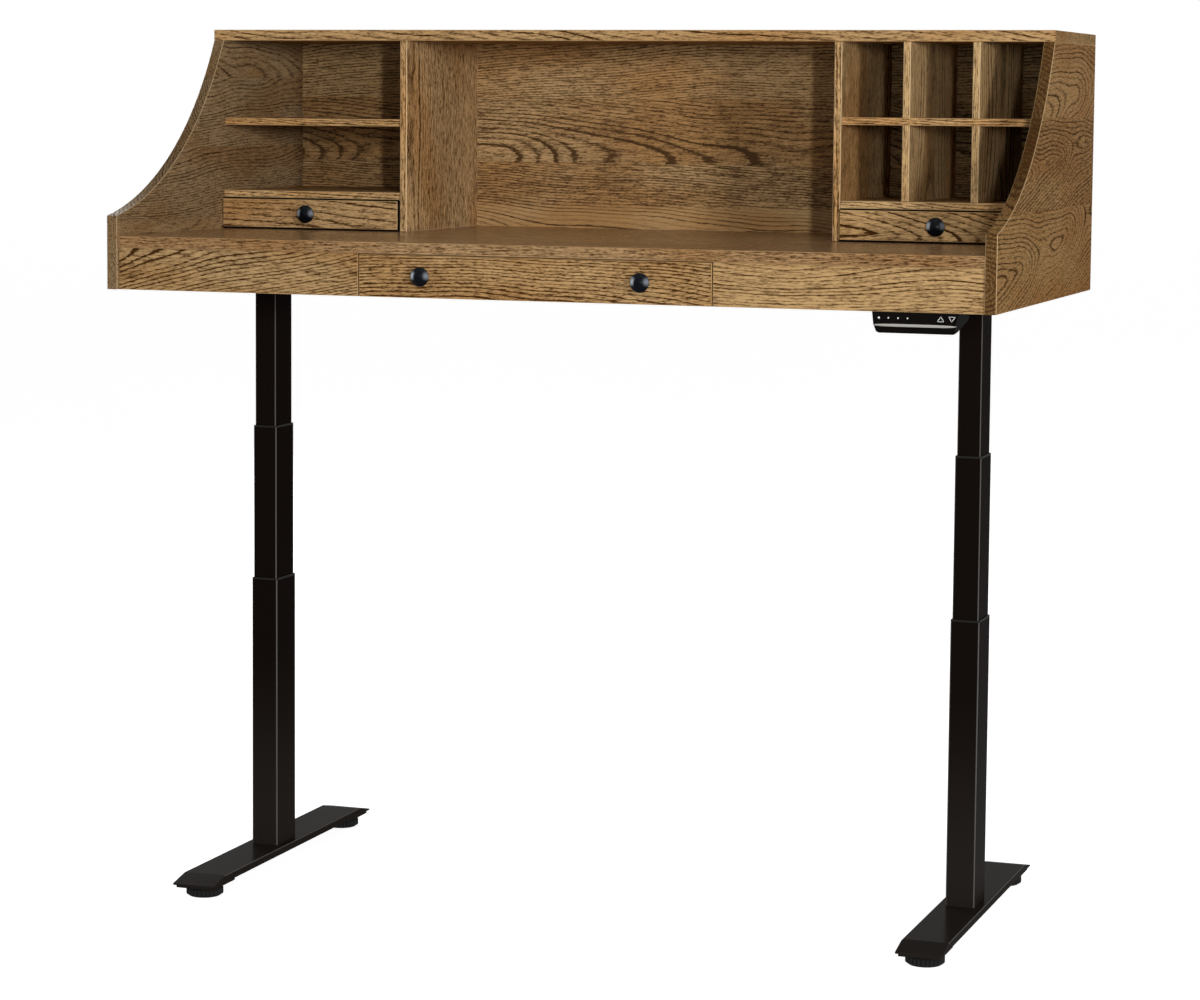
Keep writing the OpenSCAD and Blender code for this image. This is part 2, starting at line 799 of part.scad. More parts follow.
module desktop_edge() {
    y0 = front_y + edge_setback;
    color([0.58, 0.40, 0.22])
    board([-inside_x, y0, under_z], [inside_x, y0 + panel_t, surface_z]);
}

// Boards of the hutch
module divider(side) {
    x0 = side > 0 ? bay_x : -bay_outer_x;
    color([0.55, 0.37, 0.20])
    board([x0, hutch_y, surface_z], [x0 + divider_t, back_face_y, hutch_under_z]);
}

module side_shelf(side, h) {
    x0 = side > 0 ? bay_outer_x : -inside_x;
    x1 = side > 0 ? inside_x : -bay_outer_x;
    board([x0, hutch_y, surface_z + h], [x1, back_face_y, surface_z + h + shelf_t]);
}

module left_shelf() {
    color([0.55, 0.37, 0.20]) side_shelf(-1, left_shelf_h);
}

module drawer_shelf(side) {
    color([0.55, 0.37, 0.20]) side_shelf(side, drawer_bay_h);
}

// Pigeonholes: the shelf and the dividers are halved into each other
pigeonhole_w = (inside_x - bay_outer_x - (pigeonhole_columns - 1) * pigeonhole_t)
    / pigeonhole_columns;
halving_y = (hutch_y + back_face_y) / 2;
function pigeonhole_x(i) = bay_outer_x + i * (pigeonhole_w + pigeonhole_t) - pigeonhole_t;

module pigeonhole_shelf() {
    z = surface_z + pigeonhole_shelf_h;
    color([0.55, 0.37, 0.20])
    difference() {
        side_shelf(1, pigeonhole_shelf_h);
        for (i = [1 : pigeonhole_columns - 1])
            block([pigeonhole_x(i) - lap_play, halving_y - lap_play / 2, z - cut],
                  [pigeonhole_x(i) + pigeonhole_t + lap_play, back_face_y + cut,
                   z + shelf_t + cut]);
    }
}

module pigeonhole_dividers() {
    z = surface_z + pigeonhole_shelf_h;
    color([0.55, 0.37, 0.20])
    for (i = [1 : pigeonhole_columns - 1])
        difference() {
            board([pigeonhole_x(i), hutch_y, surface_z + drawer_bay_h + shelf_t],
                  [pigeonhole_x(i) + pigeonhole_t, back_face_y, hutch_under_z]);
            block([pigeonhole_x(i) - cut, hutch_y - cut, z - lap_play],
                  [pigeonhole_x(i) + pigeonhole_t + cut, halving_y + lap_play / 2,
                   z + shelf_t + lap_play]);
        }
}

// Aprons beside the pencil drawer and the bearers behind them
module apron(side) {
    x0 = side > 0 ? apron_end_x : -inside_x;
    x1 = side > 0 ? inside_x : -apron_end_x;
    color([0.62, 0.43, 0.24])
    board([x0, apron_y, skirt_z], [x1, apron_back_y, under_z]);
}

module drawer_bearers() {
    color([0.50, 0.35, 0.20])
    for (side = [-1, 1])
        translate([side > 0 ? apron_end_x : -apron_end_x - panel_t, 0, 0])
            board([0, apron_back_y, bearer_z], [panel_t, apron_back_y + pencil_box_d, under_z]);
}

// Drawer slides: fixed channels with lips, and runners whose heads ride behind the lips
module drawer_rails() {
    x0 = apron_end_x - rail_d;
    x1 = apron_end_x;
    h = rail_h / 2;
    color([0.68, 0.68, 0.70])
    for (side = [-1, 1])
        mirror([side > 0 ? 0 : 1, 0, 0])
            along_y(apron_back_y + 6, rail_len)
                translate([0, rail_z])
                    polygon([
                        [x1, -h], [x1, h], [x0, h], [x0, h - rail_lip], [x0 + rail_t, h - rail_lip],
                        [x0 + rail_t, h - rail_t], [x1 - rail_t, h - rail_t],
                        [x1 - rail_t, -h + rail_t], [x0 + rail_t, -h + rail_t],
                        [x0 + rail_t, -h + rail_lip], [x0, -h + rail_lip], [x0, -h]
                    ]);
}

module pencil_drawer_runners() {
    x0 = pencil_box_half;
    neck_x = apron_end_x - rail_d + rail_t + 1;
    head_x = apron_end_x - rail_t - 1;
    neck_h = rail_h / 2 - rail_lip - 1;
    head_h = rail_h / 2 - rail_t - rail_play;
    color([0.72, 0.72, 0.74])
    for (side = [-1, 1])
        mirror([side > 0 ? 0 : 1, 0, 0])
            along_y(apron_back_y + 2, rail_len)
                translate([0, rail_z])
                    polygon([
                        [x0, -neck_h], [neck_x, -neck_h], [neck_x, -head_h], [head_x, -head_h],
                        [head_x, head_h], [neck_x, head_h], [neck_x, neck_h], [x0, neck_h]
                    ]);
}

// Drawer box open at the top, with its floor let into the walls
module drawer_box(a, b) {
    groove = 4;
    difference() {
        board(a, b);
        block([a.x + drawer_wall, a.y + drawer_wall, a.z + groove + drawer_floor],
              [b.x - drawer_wall, b.y - drawer_wall, b.z + cut]);
        block([a.x + drawer_wall, a.y + drawer_wall, a.z - cut],
              [b.x - drawer_wall, b.y - drawer_wall, a.z + groove]);
    }
}

module pencil_drawer_front() {
    color([0.62, 0.43, 0.24])
    board([-pencil_half, apron_y, skirt_z], [pencil_half, apron_back_y, under_z - front_gap]);
}

module pencil_drawer_box() {
    z = skirt_z + pencil_box_lift;
    color([0.60, 0.45, 0.28])
    drawer_box([-pencil_box_half, apron_back_y, z],
               [pencil_box_half, apron_back_y + pencil_box_d, z + pencil_box_h]);
}

// Small drawers under the drawer shelves; the boxes run on the desktop
small_front_y = hutch_y - small_front_proud;
small_x0 = bay_outer_x + front_gap;
small_x1 = inside_x - front_gap;
small_knob_x = (small_x0 + small_x1) / 2;
small_front_z0 = surface_z + small_front_gap;
small_front_z1 = surface_z + drawer_bay_h - small_front_gap + 1;

module small_drawer_front(side) {
    color([0.62, 0.43, 0.24])
    mirror([side > 0 ? 0 : 1, 0, 0])
        board([small_x0, small_front_y, small_front_z0],
              [small_x1, small_front_y + small_front_t, small_front_z1]);
}

module small_drawer_box(side) {
    y0 = small_front_y + small_front_t;
    color([0.60, 0.45, 0.28])
    mirror([side > 0 ? 0 : 1, 0, 0])
        drawer_box([bay_outer_x + drawer_play, y0, surface_z + drawer_play],
                   [inside_x - drawer_play, y0 + small_box_d, small_front_z1 - 4]);
}

// Knob: a foot, a waisted neck and a domed head, turned about the Y axis
module knob(x, y, z) {
    head_z = knob_len * 0.52;
    edge_z = knob_len * 0.66;
    dome_h = knob_len - edge_z;
    dome_r = (knob_d * knob_d / 4 + dome_h * dome_h) / (2 * dome_h);
    waist_r = 4;
    color([0.04, 0.04, 0.05])
    translate([x, y, z]) rotate([90, 0, 0]) {
        difference() {
            union() {
                cylinder(d = knob_foot_d, h = 2.5);
                cylinder(d = knob_neck_d, h = edge_z);
                translate([0, 0, head_z]) cylinder(d1 = knob_neck_d, d2 = knob_d, h = edge_z - head_z);
            }
            translate([0, 0, 2.5 + waist_r]) rotate_extrude()
                translate([knob_neck_d / 2 + waist_r - 1, 0]) circle(waist_r);
        }
        intersection() {
            translate([0, 0, edge_z]) cylinder(d = knob_d, h = dome_h + cut);
            translate([0, 0, knob_len - dome_r]) sphere(dome_r, $fn = 96);
        }
    }
}

module pencil_drawer_knobs() {
    for (side = [-1, 1])
        knob(side * pencil_knob_x, apron_y, (skirt_z + under_z) / 2);
}

module small_drawer_knob(side) {
    knob(side * small_knob_x, small_front_y, (small_front_z0 + small_front_z1) / 2);
}

front_glide_y = front_y + foot_y + glide_inset;
rear_glide_y = front_y + foot_y + foot_len - glide_inset;

foot(-1);  // left_foot
foot(1);  // right_foot
outer_tube(-1);  // left_outer_tube
outer_tube(1);  // right_outer_tube
outer_guides();
lower_push_tubes();
glide(-1, front_glide_y);  // front_left_glide
glide(-1, rear_glide_y);  // rear_left_glide
glide(1, front_glide_y);  // front_right_glide
glide(1, rear_glide_y);  // rear_right_glide
middle_tube(-1);  // left_middle_tube
middle_tube(1);  // right_middle_tube
middle_guide(-1);  // left_middle_guide
middle_guide(1);  // right_middle_guide
upper_push_tube(-1);  // left_upper_push_tube
upper_push_tube(1);  // right_upper_push_tube
drive_screw(-1);  // left_drive_screw
drive_screw(1);  // right_drive_screw
hollow_screw(-1);  // left_hollow_screw
hollow_screw(1);  // right_hollow_screw
inner_tube(-1);  // left_inner_tube
inner_tube(1);  // right_inner_tube
gear_motors();
side_brackets();
cross_rails();
control_box();
handset_housing();
side_panel(-1);  // left_side_panel
side_panel(1);  // right_side_panel
top_panel();
back_panel();
desktop();
desktop_edge();
divider(-1);  // left_divider
divider(1);  // right_divider
left_shelf();
drawer_shelf(-1);  // left_drawer_shelf
pigeonhole_shelf();
drawer_shelf(1);  // right_drawer_shelf
pigeonhole_dividers();
apron(-1);  // left_apron
apron(1);  // right_apron
drawer_bearers();
drawer_rails();
pencil_drawer_front();
pencil_drawer_box();
pencil_drawer_knobs();
pencil_drawer_runners();
small_drawer_front(-1);  // left_drawer_front
small_drawer_box(-1);  // left_drawer_box
small_drawer_knob(-1);  // left_drawer_knob
small_drawer_front(1);  // right_drawer_front
small_drawer_box(1);  // right_drawer_box
small_drawer_knob(1);  // right_drawer_knob
arrow_button(-1);  // up_button
arrow_button(1);  // down_button
memory_button(0);  // memory_button_1
memory_button(1);  // memory_button_2
memory_button(2);  // memory_button_3
memory_button(3);  // memory_button_4
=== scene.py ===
import math
from functools import partial

import bmesh
import bpy
import numpy as np
from mathutils import Matrix, Vector


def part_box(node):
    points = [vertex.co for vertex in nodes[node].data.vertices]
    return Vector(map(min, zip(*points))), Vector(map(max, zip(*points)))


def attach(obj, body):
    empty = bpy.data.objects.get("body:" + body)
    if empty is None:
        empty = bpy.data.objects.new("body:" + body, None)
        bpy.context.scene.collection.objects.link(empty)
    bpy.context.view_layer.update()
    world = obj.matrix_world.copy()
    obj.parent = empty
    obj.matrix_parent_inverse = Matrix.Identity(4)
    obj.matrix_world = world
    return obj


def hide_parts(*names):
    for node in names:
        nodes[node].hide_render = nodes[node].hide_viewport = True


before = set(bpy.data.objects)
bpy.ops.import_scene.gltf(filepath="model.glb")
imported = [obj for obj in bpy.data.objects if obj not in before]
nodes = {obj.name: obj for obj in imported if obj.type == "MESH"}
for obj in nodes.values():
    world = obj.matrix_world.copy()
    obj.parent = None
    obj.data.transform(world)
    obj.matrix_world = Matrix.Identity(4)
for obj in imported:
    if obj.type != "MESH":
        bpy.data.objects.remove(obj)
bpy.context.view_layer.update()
scene = bpy.context.scene

# Camera: the photograph's eye point and framing. Its parallel verticals are met by a small
# downward pitch and a small shift, so that the views from other sides stay in the frame.
eye = (1.8415, -5.3048, 1.3726)
heading, pitch, roll = 19.239, 84.861, 0.469
view = bpy.data.cameras.new("view")
view.sensor_width = 36
view.lens = 98.272
view.shift_y = -0.085
camera = bpy.data.objects.new("camera", view)
scene.collection.objects.link(camera)
camera.matrix_world = (
    Matrix.Translation(eye)
    @ Matrix.Rotation(math.radians(heading), 4, "Z")
    @ Matrix.Rotation(math.radians(pitch), 4, "X")
    @ Matrix.Rotation(math.radians(roll), 4, "Z")
)
scene.camera = camera
scene.view_settings.view_transform = "Standard"


# Lamps: a strong one at the right and a tall narrow one beside the camera, as in the
# photograph, and weaker broad ones at the camera, overhead, at both sides and behind.
def soft_lamp(name, place, aim, width, height, watts):
    """Upright oblong area lamp of the given width and height at place, facing aim."""
    data = bpy.data.lights.new(name, "AREA")
    data.shape = "RECTANGLE"
    data.size = width
    data.size_y = height
    data.energy = watts
    lamp = bpy.data.objects.new(name, data)
    lamp.location = place
    lamp.rotation_euler = (Vector(aim) - Vector(place)).to_track_quat("-Z", "Y").to_euler()
    scene.collection.objects.link(lamp)


hutch_middle = (0, 0, 1.2)
soft_lamp("right_lamp", (5.84, -5.81, 1.95), (0.2, 0, 1.3), 0.9, 0.9, 250)
soft_lamp("front_lamp", (2.6, -5.6, 1.75), hutch_middle, 0.15, 0.8, 118)
soft_lamp("camera_lamp", (1.0, -5.9, 1.7), hutch_middle, 1.2, 1.2, 23)
soft_lamp("ceiling_lamp", (0.3, -1.6, 4.4), (0.1, -0.1, 1.0), 1.5, 1.5, 14)
soft_lamp("side_lamp", (4.6, 1.6, 1.5), hutch_middle, 1.2, 1.6, 16)
soft_lamp("left_lamp", (-5.6, -1.5, 1.7), hutch_middle, 0.9, 1.8, 50)
soft_lamp("back_lamp", (-4.4, 4.8, 3.0), (0, 0.3, 1.0), 1.8, 1.6, 150)


# Room: a dim white world that the camera, reflections and glass see at full white, and a
# plain pale floor that takes the desk's shadow.
def add(tree, kind, **settings):
    """New shader node of a kind, with its settings."""
    node = tree.nodes.new("ShaderNode" + kind)
    for setting, value in settings.items():
        setattr(node, setting, value)
    return node


def feed(tree, term, socket):
    """Links an output to a socket, or sets a number or a colour on it."""
    if isinstance(term, bpy.types.NodeSocket):
        tree.links.new(term, socket)
    else:
        socket.default_value = term


def sum_of(tree, operation, *terms):
    """Output of a Math node on numbers and outputs."""
    node = add(tree, "Math", operation=operation)
    for term, socket in zip(terms, node.inputs):
        feed(tree, term, socket)
    return node.outputs[0]


def spread(tree, value, start, end, low, high, kind="LINEAR"):
    """Value mapped from start..end to low..high and held at both ends."""
    node = add(tree, "MapRange", interpolation_type=kind)
    for term, socket in ((value, "Value"), (start, "From Min"), (end, "From Max"),
                         (low, "To Min"), (high, "To Max")):
        feed(tree, term, node.inputs[socket])
    return node.outputs[0]


def blank(name):
    """New material with its node tree and its shader."""
    made = bpy.data.materials.new(name)
    made.use_nodes = True
    return made, made.node_tree, made.node_tree.nodes["Principled BSDF"]


world = bpy.data.worlds.new("studio")
scene.world = world
world.use_nodes = True
tree = world.node_tree
ray = add(tree, "LightPath").outputs
seen = sum_of(tree, "MAXIMUM", ray["Is Camera Ray"], ray["Is Glossy Ray"])
seen = sum_of(tree, "MAXIMUM", seen, ray["Is Transmission Ray"])
backdrop = tree.nodes["Background"]
backdrop.inputs["Color"].default_value = (1, 1, 1, 1)
feed(tree, spread(tree, seen, 0.0, 1.0, 0.15, 1.0), backdrop.inputs["Strength"])

floor_mesh = bpy.data.meshes.new("floor")
floor_mesh.from_pydata(
    [(-20, -12, 0), (20, -12, 0), (20, 28, 0), (-20, 28, 0)], [], [(0, 1, 2, 3)]
)
floor = bpy.data.objects.new("floor", floor_mesh)
scene.collection.objects.link(floor)
pale, tree, paint = blank("pale_floor")
paint.inputs["Base Color"].default_value = (0.8, 0.8, 0.8, 1)
paint.inputs["Roughness"].default_value = 0.9
glow, dark = add(tree, "Emission"), add(tree, "Emission")
glow.inputs["Strength"].default_value = 0.8
dark.inputs["Strength"].default_value = 0.0
pick, both = add(tree, "MixShader"), add(tree, "AddShader")
for term, socket in (
    (add(tree, "LightPath").outputs["Is Camera Ray"], pick.inputs[0]),
    (dark.outputs[0], pick.inputs[1]),
    (glow.outputs[0], pick.inputs[2]),
    (paint.outputs[0], both.inputs[0]),
    (pick.outputs[0], both.inputs[1]),
    (both.outputs[0], tree.nodes["Material Output"].inputs["Surface"]),
):
    tree.links.new(term, socket)
floor_mesh.materials.append(pale)


# Side panels, top panel, back panel, desktop and shelves: solid flat-sawn oak in glued-up
# staves, stained brown and lacquered. Each stave's ring figure is cut out of its own log.
def wear(node_names, material):
    """Gives CAD nodes their finish."""
    for name in node_names:
        nodes[name].data.materials.clear()
        nodes[name].data.materials.append(material)


def parts_of(tree, vector):
    """The three parts of a vector by the letters of their axes."""
    split = add(tree, "SeparateXYZ")
    feed(tree, vector, split.inputs[0])
    return dict(zip("xyz", split.outputs))


def ramp(tree, value, *stops):
    """Smooth ramp through grey tones at the given positions."""
    node = add(tree, "ValToRGB")
    node.color_ramp.interpolation = "EASE"
    keys = node.color_ramp.elements
    while len(keys) < len(stops):
        keys.new(0.5)
    for key, (position, tone) in zip(keys, stops):
        key.position = position
        key.color = (tone, tone, tone, 1)
    feed(tree, value, node.inputs[0])
    return node.outputs[0]


def mixed(tree, factor, first, second):
    """Colour between the first, at factor 0, and the second, at factor 1."""
    node = add(tree, "Mix", data_type="RGBA")
    for term, socket in ((factor, "Factor"), (first, "A"), (second, "B")):
        feed(tree, term, node.inputs[socket])
    return node.outputs["Result"]


def relief(tree, shader, height, strength, distance):
    """Bumps the shader's surface by a pattern of heights."""
    bump = add(tree, "Bump")
    for term, socket in ((strength, "Strength"), (distance, "Distance"), (height, "Height")):
        feed(tree, term, bump.inputs[socket])
    feed(tree, bump.outputs["Normal"], shader.inputs["Normal"])


def oak(name, along, across, through, centre, face, depth, ring=0.0034, taper=0.05, tilt=0.0,
        stave=0.0, sway=0.03, knots=0.02, wave=0.35, broken=0.4, contrast=1.0, pale_below=0.0,
        end=0.72, edge_highlight=0.0, light=(0.50, 0.315, 0.138), dark=(0.050, 0.019, 0.004),
        gloss=0.34, mirror=0.02, seed=0.0):
    """Flat-sawn board: rings of a log whose pith runs along the board at depth behind its face
    and at centre across it, or near the middle of each stave. Ring number = (distance to the
    pith + taper * along) / ring, with the pith tilted and made to sway and swell by noise, and
    the rings made to wave. The early wood of a ring is a dark porous line, the late wood after
    it turns paler until the next line, stretched noise breaks the lines into pores by broken,
    and end grain drinks more stain. Below a given height across the board the wood is paler
    between its lines. The eased edges get a painted highlight: their stain is made paler, and
    a pale tone is mixed in there by the given amount."""
    made, tree, shader = blank(name)
    times = partial(sum_of, tree, "MULTIPLY")
    plus = partial(sum_of, tree, "ADD")
    size_of = partial(sum_of, tree, "ABSOLUTE")
    floor_of = partial(sum_of, tree, "FLOOR")

    def chance(value):
        """Chance number and colour drawn for each value."""
        draw = add(tree, "TexWhiteNoise", noise_dimensions="1D")
        feed(tree, value, draw.inputs["W"])
        return draw.outputs

    point = add(tree, "TexCoord").outputs
    place = parts_of(tree, point["Object"])
    facing = parts_of(tree, point["Normal"])
    u, v, w = place[along], place[across], place[through]
    shift, tone, log_v, log_w = seed, 0.0, centre, depth
    if stave:
        # Each stave draws where its pith lies, across and behind it, its start and its tone.
        row = floor_of(times(plus(v, -centre), 1 / stave))
        draw = parts_of(tree, chance(plus(row, seed * 1.31))["Color"])
        log_v = plus(times(plus(row, plus(times(draw["x"], 1.8), -0.4)), stave), centre)
        log_w = times(plus(times(draw["y"], 1.4), 0.35), depth)
        shift = plus(times(draw["z"], 40.0), seed)
        tone = times(plus(draw["z"], -0.5), 0.22)

    def noise(along_scale, across_scale, through_scale, detail, start):
        """Noise about zero, at the given scales per metre; each use starts elsewhere."""
        where = add(tree, "CombineXYZ")
        for term, socket in zip((plus(plus(times(u, along_scale), start), shift),
                                 plus(times(v, across_scale), seed * 1.7),
                                 plus(times(w, through_scale), seed * 0.6)), where.inputs):
            feed(tree, term, socket)
        grain = add(tree, "TexNoise")
        for term, socket in ((1.0, "Scale"), (detail, "Detail"), (where.outputs[0], "Vector")):
            feed(tree, term, grain.inputs[socket])
        return plus(grain.outputs["Fac"], -0.5)

    # The rings: which one a point lies in, and where between one dark line and the next.
    first_ring = 1000.0
    swaying = plus(times(noise(1.6, 0.0, 1.0, 2, 3.0), 2 * sway), times(u, -tilt))
    swelling = times(noise(3.5, 5.0, 2.0, 1, 11.0), 2 * knots)
    pith_v = plus(plus(v, times(log_v, -1.0)), swaying)
    pith_w = plus(plus(plus(w, -face), times(log_w, -1.0)), swelling)
    reach = sum_of(tree, "SQRT", plus(times(pith_v, pith_v), times(pith_w, pith_w)))
    broad_wave = times(noise(3.0, 16.0, 14.0, 1, 23.0), 2 * wave)
    short_wave = times(noise(11.0, 60.0, 50.0, 1, 27.0), 0.6 * wave)
    ragged = times(noise(55.0, 420.0, 380.0, 1, 31.0), 0.3)
    ring_number = plus(times(plus(reach, times(u, taper)), 1 / ring),
                       plus(plus(plus(broad_wave, short_wave), ragged), first_ring))
    between = sum_of(tree, "FRACT", ring_number)
    lucky = chance(floor_of(ring_number))["Value"]
    strength = plus(times(times(lucky, lucky), 0.78), 0.32)
    fade = plus(times(noise(2.5, 9.0, 9.0, 1, 37.0), 1.3), 0.95)

    # The stain: how dark it stands in lines, pores, flecks, clouds, cut ends and a band low on
    # the board that is paler between its lines; on the eased edges it is painted paler as a
    # painted highlight.
    early = ramp(tree, between, (0.0, 0.2), (0.07, 1.0), (0.18, 0.85), (0.34, 0.1), (0.6, 0.0),
                 (1.0, 0.2))
    pores = ramp(tree, plus(noise(70.0, 420.0, 420.0, 1, 41.0), 0.5), (0.42, 0.0), (0.54, 1.0))
    flecks = ramp(tree, plus(noise(130.0, 520.0, 520.0, 1, 53.0), 0.5), (0.44, 0.0), (0.66, 1.0))
    line = times(times(early, times(strength, fade)), plus(times(pores, broken), 1.08 - broken))
    late = times(plus(times(between, -1.0), 1.0), 0.16)
    cloud = times(noise(1.8, 7.0, 7.0, 3, 67.0), 0.35)
    mottle_and_floor_sheen = times(noise(42.0, 400.0, 400.0, 2, 79.0), 1.6)
    shade = plus(plus(line, late), times(flecks, 0.34))
    shade = times(plus(plus(plus(shade, cloud), tone), mottle_and_floor_sheen), contrast)
    # Paler between the lines below a given height across the board.
    if pale_below:
        uneven = times(noise(2.0, 3.0, 3.0, 1, 83.0), 0.012)
        edge = times(plus(plus(v, -pale_below), uneven), -120.0)
        pale_band = ramp(tree, plus(edge, 0.5), (0.0, 0.0), (1.0, 1.0))
        shade = plus(times(shade, plus(times(pale_band, -0.7), 1.0)), times(line, times(pale_band, 0.9)))
    cut = ramp(tree, size_of(facing[along]), (0.25, 0.0), (0.6, end), (0.9, end),
               (1.0, end - 0.12))
    # The eased edges are painted paler here: a painted highlight.
    arris = ramp(tree, size_of(facing[through]), (0.3, 0.0), (0.5, 1.0), (0.85, 1.0), (0.95, 0.0))
    shade = plus(times(shade, plus(times(cut, -0.5), 1.0)), times(cut, 0.83))
    shade = times(shade, plus(times(arris, -0.9), 1.0))
    shade = sum_of(tree, "MAXIMUM", sum_of(tree, "MINIMUM", shade, 1.0), 0.0)

    # The colours: pale wood, warmer here and there, the stain over it, and painted highlights on
    # the eased edges.
    warmth = ramp(tree, plus(noise(3.2, 8.0, 8.0, 2, 71.0), 0.5), (0.4, 0.0), (0.66, 1.0))
    warmer = (light[0] * 0.86, light[1] * 0.74, light[2] * 0.62, 1)
    colour = mixed(tree, warmth, (*light, 1), warmer)
    colour = mixed(tree, shade, colour, (*dark, 1))
    edge_highlight_tone = (0.70, 0.56, 0.36, 1)
    colour = mixed(tree, times(arris, edge_highlight), colour, edge_highlight_tone)
    feed(tree, colour, shader.inputs["Base Color"])
    feed(tree, plus(times(shade, 0.22), gloss), shader.inputs["Roughness"])
    relief(tree, shader, times(shade, -1.0), 0.25, 0.0008)
    shader.inputs["Specular IOR Level"].default_value = mirror
    return made


wear(["right_side_panel"],
     oak("right_side_oak", "y", "z", "x", 1.055, 0.762, -0.035, ring=0.0070, taper=0.12,
         tilt=0.10, stave=0.150, sway=0.05, knots=0.045, wave=0.2, contrast=1.1, end=0.9,
         edge_highlight=0.3, light=(0.36, 0.205, 0.076), dark=(0.058, 0.027, 0.009), mirror=0.002,
         seed=13.8))
left_side_oak = oak("left_side_oak", "y", "z", "x", 1.04, -0.743, 0.10, ring=0.0040,
                    stave=0.125, wave=0.25, end=0.4, edge_highlight=0.15, light=(0.355, 0.238, 0.122),
                    dark=(0.040, 0.019, 0.008), mirror=0.01, seed=9.1)
wear(["left_side_panel"], left_side_oak)
wear(["top_panel"],
     oak("top_oak", "x", "y", "z", 0.2, 1.4985, -0.08, ring=0.0042, wave=0.25, contrast=1.2,
         end=0.3, light=(0.52, 0.33, 0.15), gloss=0.5, mirror=0.005, seed=2.5))
wear(["back_panel"],
     oak("back_oak", "x", "z", "y", 1.145, 0.3745, 0.10, ring=0.0042, taper=0.045,
         stave=0.118, sway=0.03, knots=0.015, wave=0.25, broken=0.25, contrast=1.4, pale_below=1.186,
         light=(0.53, 0.345, 0.162), dark=(0.082, 0.043, 0.018), mirror=0.01, seed=5.3))
wear(["desktop"],
     oak("desktop_oak", "x", "y", "z", -0.05, 1.144, -0.09, ring=0.0042, contrast=1.3,
         light=(0.52, 0.315, 0.149), dark=(0.075, 0.035, 0.013), gloss=0.12, mirror=0.3,
         seed=12.7))
wear(["desktop_edge"],
     oak("edge_strip_oak", "x", "z", "y", 1.0, -0.37, 0.02, ring=0.0024, taper=0.005,
         tilt=0.004, sway=0.01, contrast=1.45, light=(0.43, 0.268, 0.13), seed=15.1))
wear(["left_divider"],
     oak("left_divider_oak", "z", "y", "x", 0.05, -0.388, 0.20, taper=0.01, sway=0.01,
         knots=0.008, wave=0.2, contrast=1.6, edge_highlight=0.5, light=(0.65, 0.425, 0.205), seed=18.4))
wear(["right_divider"],
     oak("right_divider_oak", "z", "y", "x", 0.40, 0.388, -0.2, taper=0.01, sway=0.01,
         knots=0.008, wave=0.2, contrast=1.3, edge_highlight=0.6, light=(0.64, 0.415, 0.19), seed=21.4))
wear(["left_shelf", "left_drawer_shelf", "right_drawer_shelf", "pigeonhole_shelf"],
     oak("shelf_oak", "x", "y", "z", 0.3, 1.3, -0.3, taper=0.02, contrast=1.2, edge_highlight=0.1,
         light=(0.66, 0.43, 0.20), seed=24.8))
wear(["pigeonhole_dividers"],
     oak("pigeonhole_oak", "z", "y", "x", 0.2, 0.5, -0.4, taper=0.015, sway=0.012, knots=0.01,
         wave=0.25, edge_highlight=0.5, light=(0.63, 0.42, 0.20), seed=27.9))

# Aprons and drawer fronts: the same oak, picked for a livelier figure. The pencil drawer's
# front lies between the glued aprons, and the small fronts are cut from wide-ringed wood.
wear(["left_apron"],
     oak("left_apron_oak", "x", "z", "y", 1.20, -0.366, 0.05, ring=0.0047, taper=0.09,
         tilt=0.10, sway=0.02, wave=0.2, broken=0.3, contrast=1.25,
         light=(0.465, 0.302, 0.14), seed=26.3))
wear(["pencil_drawer_front"],
     oak("pencil_front_oak", "x", "z", "y", 1.02, -0.366, 0.06, ring=0.0043, taper=0.02,
         sway=0.03, wave=0.2, broken=0.3, contrast=1.45, light=(0.495, 0.318, 0.145),
         seed=22.3))
wear(["right_apron"],
     oak("right_apron_oak", "x", "z", "y", 1.17, -0.366, 0.06, ring=0.0041, taper=0.04,
         tilt=-0.04, sway=0.02, wave=0.2, contrast=1.15, light=(0.49, 0.312, 0.14),
         seed=36.3))
wear(["left_drawer_front"],
     oak("left_front_oak", "x", "z", "y", 1.19, 0.032, 0.012, ring=0.010, taper=0.16,
         tilt=0.1, sway=0.03, knots=0.03, wave=0.25, broken=0.2, contrast=1.2,
         light=(0.545, 0.352, 0.165), seed=50.1))
wear(["right_drawer_front"],
     oak("right_front_oak", "x", "z", "y", 1.175, 0.032, 0.012, ring=0.0095, taper=0.16,
         tilt=-0.05, sway=0.03, knots=0.035, wave=0.25, broken=0.2, contrast=1.2,
         light=(0.56, 0.36, 0.163), seed=33.1))

# Drawer boxes and the bearers they slide on: pale unstained oak under a thin clear lacquer.
# The boxes are glued to the backs of their fronts.
wear(["pencil_drawer_box", "left_drawer_box", "right_drawer_box", "drawer_bearers"],
     oak("drawer_oak", "x", "z", "y", 1.1, 0.0, 0.2, taper=0.01, contrast=0.5, end=0.1,
         light=(0.50, 0.36, 0.20), dark=(0.24, 0.145, 0.07), gloss=0.45, seed=45.5))
